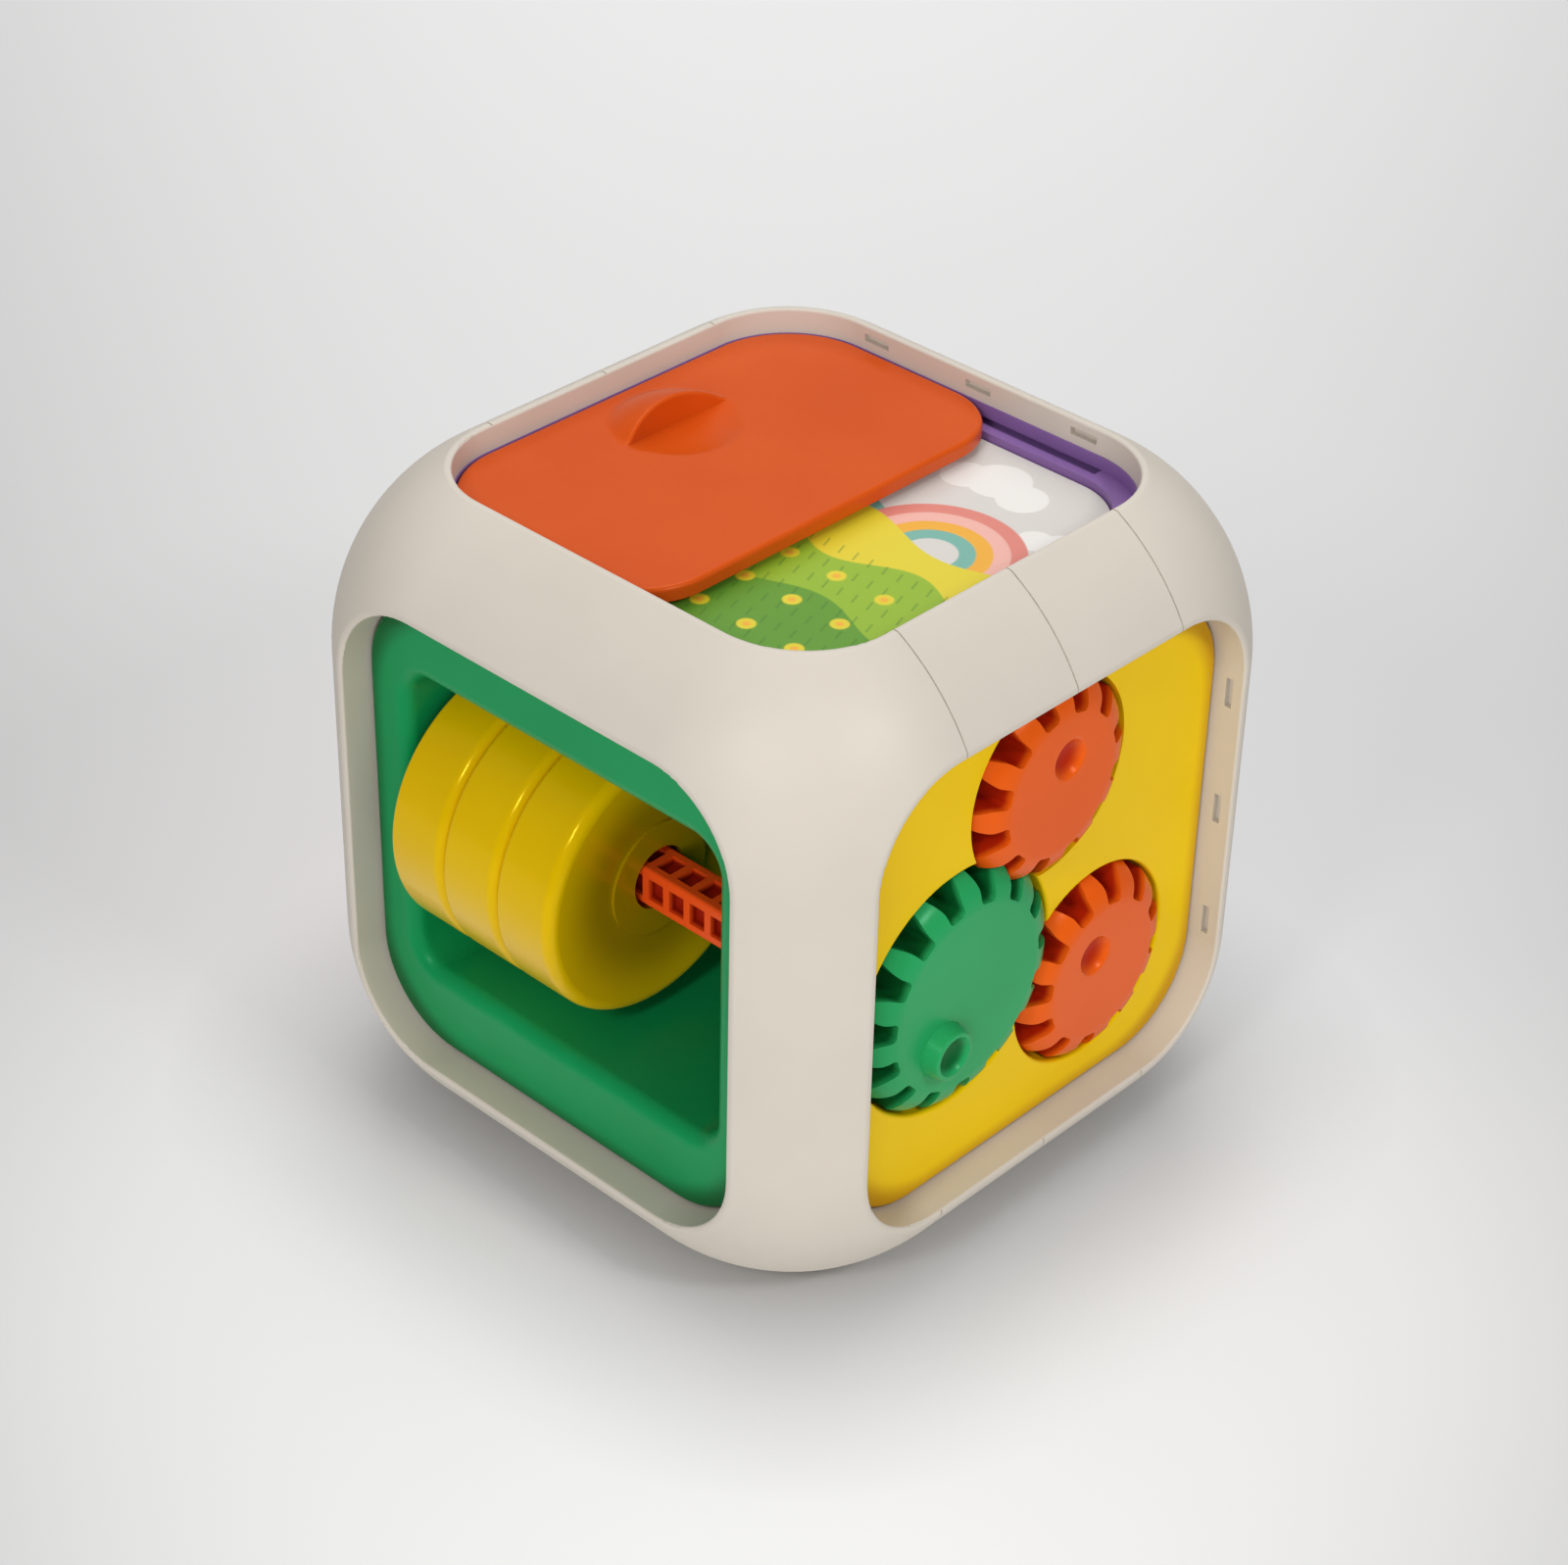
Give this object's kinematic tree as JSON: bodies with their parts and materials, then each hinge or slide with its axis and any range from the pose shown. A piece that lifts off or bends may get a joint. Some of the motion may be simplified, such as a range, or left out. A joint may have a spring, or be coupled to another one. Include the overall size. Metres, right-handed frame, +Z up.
{
  "type": "activity cube",
  "caption": "Toddler's activity cube with rounded frame, discs that spin and slide on a rod, meshing gears with a knob, and a sliding door over a picture card.",
  "frame": {"origin": "middle of the bottom opening's rim, on the surface the cube stands on", "axes": "+X to the gear face, -Y to the disc face, +Z up to the sliding door"},
  "size_m": [0.13, 0.13, 0.13],
  "materials": {
    "cream_plastic": "satin moulded",
    "green_plastic": "gloss moulded",
    "yellow_plastic": "gloss moulded",
    "disc_yellow_plastic": "gloss moulded",
    "orange_plastic": "gloss moulded",
    "door_plastic": "gloss moulded",
    "rod_plastic": "gloss moulded",
    "purple_plastic": "gloss moulded",
    "printed_card": "coated print",
    "steel": "plain zinc plated"
  },
  "bodies": {
    "cube": {"frame_front_half": "cream_plastic", "frame_back_half": "cream_plastic", "frame_screws": "steel", "disc_tray": "green_plastic", "disc_rod": "rod_plastic", "rod_screws": "steel", "rod_washers": "steel", "gear_panel": "yellow_plastic", "card_tray": "purple_plastic", "picture_card": "printed_card", "left_panel": "orange_plastic", "back_panel": "purple_plastic", "base_panel": "green_plastic"},
    "bush_1": {"disc_bush_1": "rod_plastic"},
    "disc_1": {"disc_1": "disc_yellow_plastic"},
    "bush_2": {"disc_bush_2": "rod_plastic"},
    "disc_2": {"disc_2": "disc_yellow_plastic"},
    "bush_3": {"disc_bush_3": "rod_plastic"},
    "disc_3": {"disc_3": "disc_yellow_plastic"},
    "drive_gear": {"drive_gear": "green_plastic", "drive_gear_screw": "steel", "drive_gear_washer": "steel"},
    "upper_gear": {"upper_gear": "orange_plastic", "upper_gear_screw": "steel", "upper_gear_washer": "steel"},
    "lower_gear": {"lower_gear": "orange_plastic", "lower_gear_screw": "steel", "lower_gear_washer": "steel"},
    "door": {"sliding_door": "door_plastic"}
  },
  "joints": [
    {"name": "disc_1_slide", "type": "slide", "parent": "cube", "child": "bush_1", "axis": [1, 0, 0], "range_m": [0, 0.007]},
    {"name": "disc_2_slide", "type": "slide", "parent": "bush_1", "child": "bush_2", "axis": [1, 0, 0], "range_m": [0, 0.009]},
    {"name": "disc_3_slide", "type": "slide", "parent": "bush_2", "child": "bush_3", "axis": [1, 0, 0], "range_m": [0, 0.015]},
    {"name": "disc_1_spin", "type": "hinge", "parent": "bush_1", "child": "disc_1", "pos_m": [-0.02965, -0.038, 0.0638], "axis": [1, 0, 0], "continuous": true},
    {"name": "disc_2_spin", "type": "hinge", "parent": "bush_2", "child": "disc_2", "pos_m": [-0.01585, -0.038, 0.0638], "axis": [1, 0, 0], "continuous": true},
    {"name": "disc_3_spin", "type": "hinge", "parent": "bush_3", "child": "disc_3", "pos_m": [-0.00205, -0.038, 0.0638], "axis": [1, 0, 0], "continuous": true},
    {"name": "drive_gear_spin", "type": "hinge", "parent": "cube", "child": "drive_gear", "pos_m": [0.056, -0.02, 0.0586], "axis": [1, 0, 0], "continuous": true},
    {"name": "upper_gear_spin", "type": "hinge", "parent": "cube", "child": "upper_gear", "pos_m": [0.056, 0.00186, 0.09189], "axis": [1, 0, 0], "continuous": true},
    {"name": "lower_gear_spin", "type": "hinge", "parent": "cube", "child": "lower_gear", "pos_m": [0.056, 0.01728, 0.04459], "axis": [1, 0, 0], "continuous": true},
    {"name": "door_slide", "type": "slide", "parent": "cube", "child": "door", "axis": [1, 0, 0], "range_m": [0, 0.0335]}
  ],
  "couplings": [
    {"joint": "upper_gear_spin", "follows": "drive_gear_spin", "ratio": -1.25},
    {"joint": "lower_gear_spin", "follows": "drive_gear_spin", "ratio": -1.25}
  ]
}
